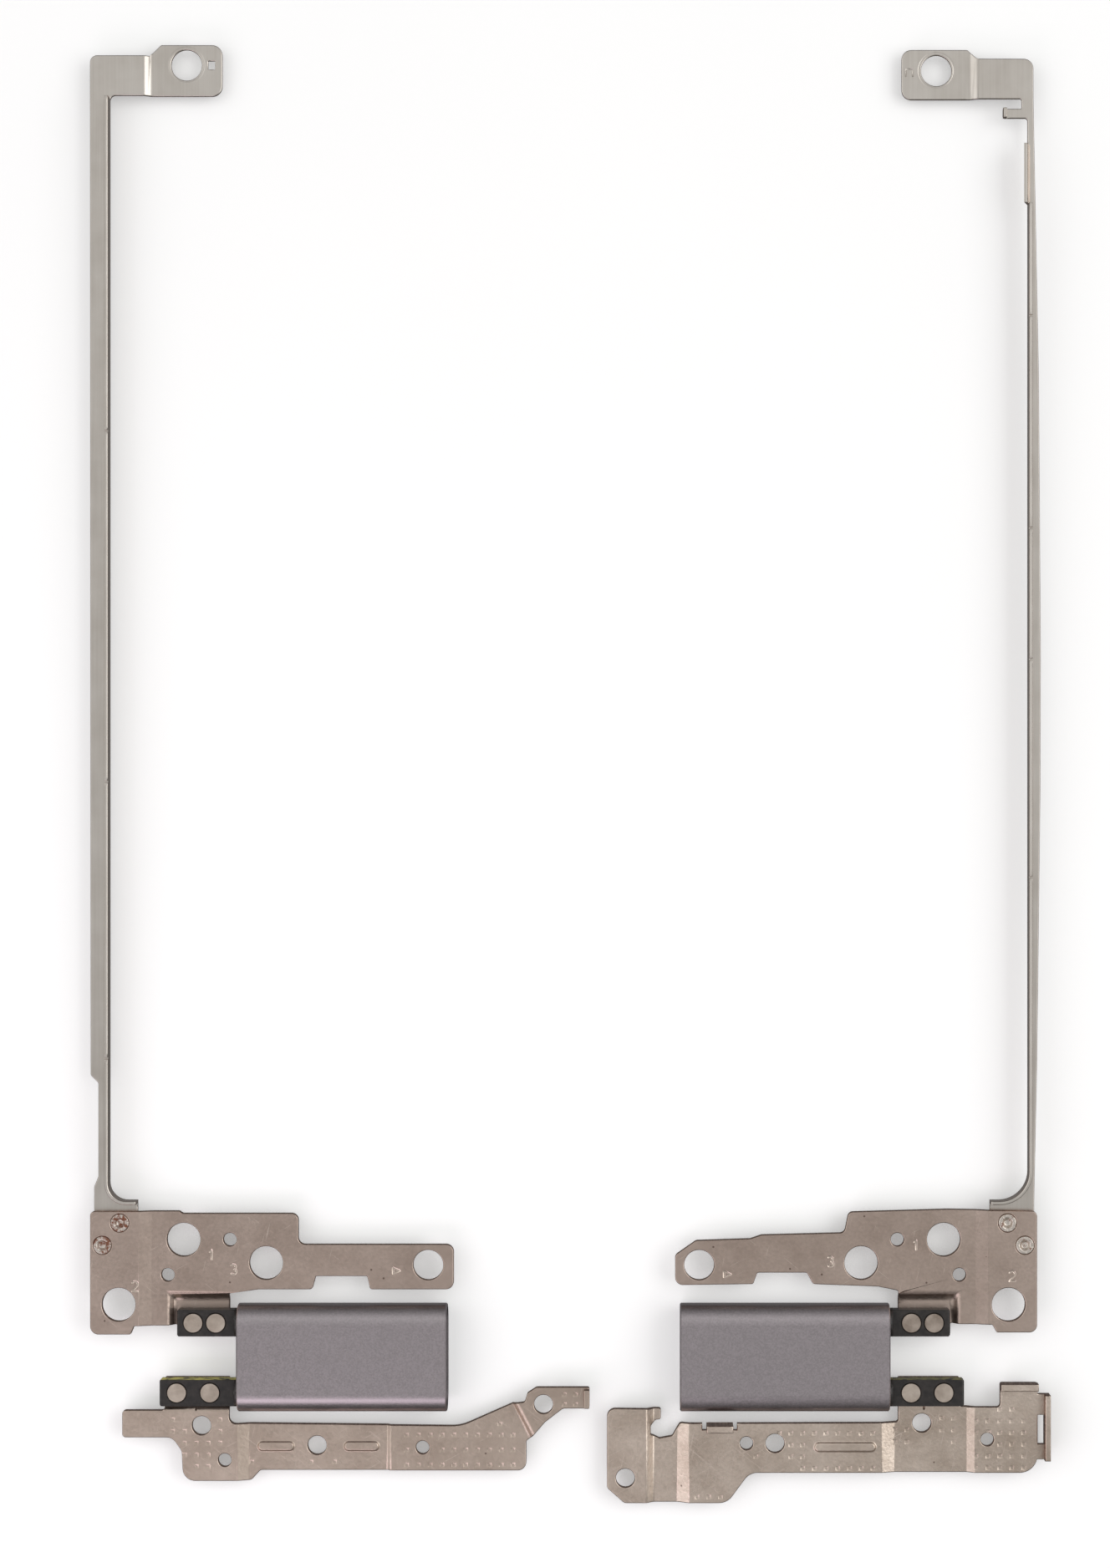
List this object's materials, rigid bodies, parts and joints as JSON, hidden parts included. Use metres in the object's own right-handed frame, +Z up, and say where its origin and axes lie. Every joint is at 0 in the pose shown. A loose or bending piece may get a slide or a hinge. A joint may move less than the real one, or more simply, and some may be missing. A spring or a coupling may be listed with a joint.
{
  "type": "laptop hinge pair",
  "caption": "Geared friction hinges for a convertible laptop: sleeves round parallel shafts, stamped base and screen brackets and long flanged screen arms, laid flat.",
  "frame": {"origin": "on the table under the middle of the pair's bounding box", "axes": "+X along the hinge axes towards the right hinge, +Y from the base side to the screen side, +Z up from the table"},
  "size_m": [0.1378, 0.2098, 0.0055],
  "materials": {
    "bracket_steel": "stamped and nickel-plated, satin",
    "arm_steel": "cold-rolled stainless, satin",
    "shaft_steel": "black oxide, satin",
    "rivet_steel": "ground flush",
    "sleeve_alloy": "bead-blasted and grey anodised",
    "cap_plastic": "moulded, black",
    "inner_steel": "turned and oiled",
    "friction_bronze": "punched, oiled bronze"
  },
  "bodies": {
    "base": {"left_base_bracket": "bracket_steel", "left_base_shaft": "shaft_steel", "left_base_rivets": "rivet_steel", "left_base_gear": "inner_steel", "left_base_washers": "inner_steel", "left_base_springs": "inner_steel", "left_base_nut": "inner_steel", "right_base_bracket": "bracket_steel", "right_base_shaft": "shaft_steel", "right_base_rivets": "rivet_steel", "right_base_gear": "inner_steel", "right_base_washers": "inner_steel", "right_base_springs": "inner_steel", "right_base_nut": "inner_steel"},
    "left_sleeve": {"left_sleeve": "sleeve_alloy", "left_end_cap": "cap_plastic", "left_front_plate": "inner_steel", "left_rear_plate": "inner_steel", "left_idler_pins": "inner_steel", "left_friction_plates": "friction_bronze"},
    "left_idler_near_base": {"left_idler_near_base": "inner_steel"},
    "left_idler_near_display": {"left_idler_near_display": "inner_steel"},
    "left_display": {"left_display_bracket": "bracket_steel", "left_display_shaft": "shaft_steel", "left_display_rivets": "rivet_steel", "left_display_gear": "inner_steel", "left_display_washers": "inner_steel", "left_display_springs": "inner_steel", "left_display_nut": "inner_steel", "left_screen_arm": "arm_steel"},
    "right_sleeve": {"right_sleeve": "sleeve_alloy", "right_end_cap": "cap_plastic", "right_front_plate": "inner_steel", "right_rear_plate": "inner_steel", "right_idler_pins": "inner_steel", "right_friction_plates": "friction_bronze"},
    "right_idler_near_base": {"right_idler_near_base": "inner_steel"},
    "right_idler_near_display": {"right_idler_near_display": "inner_steel"},
    "right_display": {"right_display_bracket": "bracket_steel", "right_display_shaft": "shaft_steel", "right_display_rivets": "rivet_steel", "right_display_gear": "inner_steel", "right_display_washers": "inner_steel", "right_display_springs": "inner_steel", "right_display_nut": "inner_steel", "right_screen_arm": "arm_steel"}
  },
  "joints": [
    {"name": "left_base_fold", "type": "hinge", "parent": "base", "child": "left_sleeve", "pos_m": [-0.03255, -0.08875, 0.00275], "axis": [1, 0, 0], "range_deg": [-90, 90]},
    {"name": "left_screen_fold", "type": "hinge", "parent": "left_sleeve", "child": "left_display", "pos_m": [-0.03255, -0.07875, 0.00275], "axis": [1, 0, 0], "range_deg": [-90, 90]},
    {"name": "left_idler_near_base_turn", "type": "hinge", "parent": "left_sleeve", "child": "left_idler_near_base", "pos_m": [-0.03255, -0.08542, 0.00275], "axis": [1, 0, 0], "range_deg": [-90, 90]},
    {"name": "left_idler_near_display_turn", "type": "hinge", "parent": "left_sleeve", "child": "left_idler_near_display", "pos_m": [-0.03255, -0.08208, 0.00275], "axis": [1, 0, 0], "range_deg": [-90, 90]},
    {"name": "right_base_fold", "type": "hinge", "parent": "base", "child": "right_sleeve", "pos_m": [0.03085, -0.08875, 0.00275], "axis": [1, 0, 0], "range_deg": [-90, 90]},
    {"name": "right_screen_fold", "type": "hinge", "parent": "right_sleeve", "child": "right_display", "pos_m": [0.03085, -0.07875, 0.00275], "axis": [1, 0, 0], "range_deg": [-90, 90]},
    {"name": "right_idler_near_base_turn", "type": "hinge", "parent": "right_sleeve", "child": "right_idler_near_base", "pos_m": [0.03085, -0.08542, 0.00275], "axis": [1, 0, 0], "range_deg": [-90, 90]},
    {"name": "right_idler_near_display_turn", "type": "hinge", "parent": "right_sleeve", "child": "right_idler_near_display", "pos_m": [0.03085, -0.08208, 0.00275], "axis": [1, 0, 0], "range_deg": [-90, 90]}
  ],
  "couplings": [
    {"joint": "left_screen_fold", "follows": "left_base_fold", "ratio": 1},
    {"joint": "left_idler_near_base_turn", "follows": "left_base_fold", "ratio": 1},
    {"joint": "left_idler_near_display_turn", "follows": "left_base_fold", "ratio": -1},
    {"joint": "right_screen_fold", "follows": "right_base_fold", "ratio": 1},
    {"joint": "right_idler_near_base_turn", "follows": "right_base_fold", "ratio": 1},
    {"joint": "right_idler_near_display_turn", "follows": "right_base_fold", "ratio": -1}
  ]
}
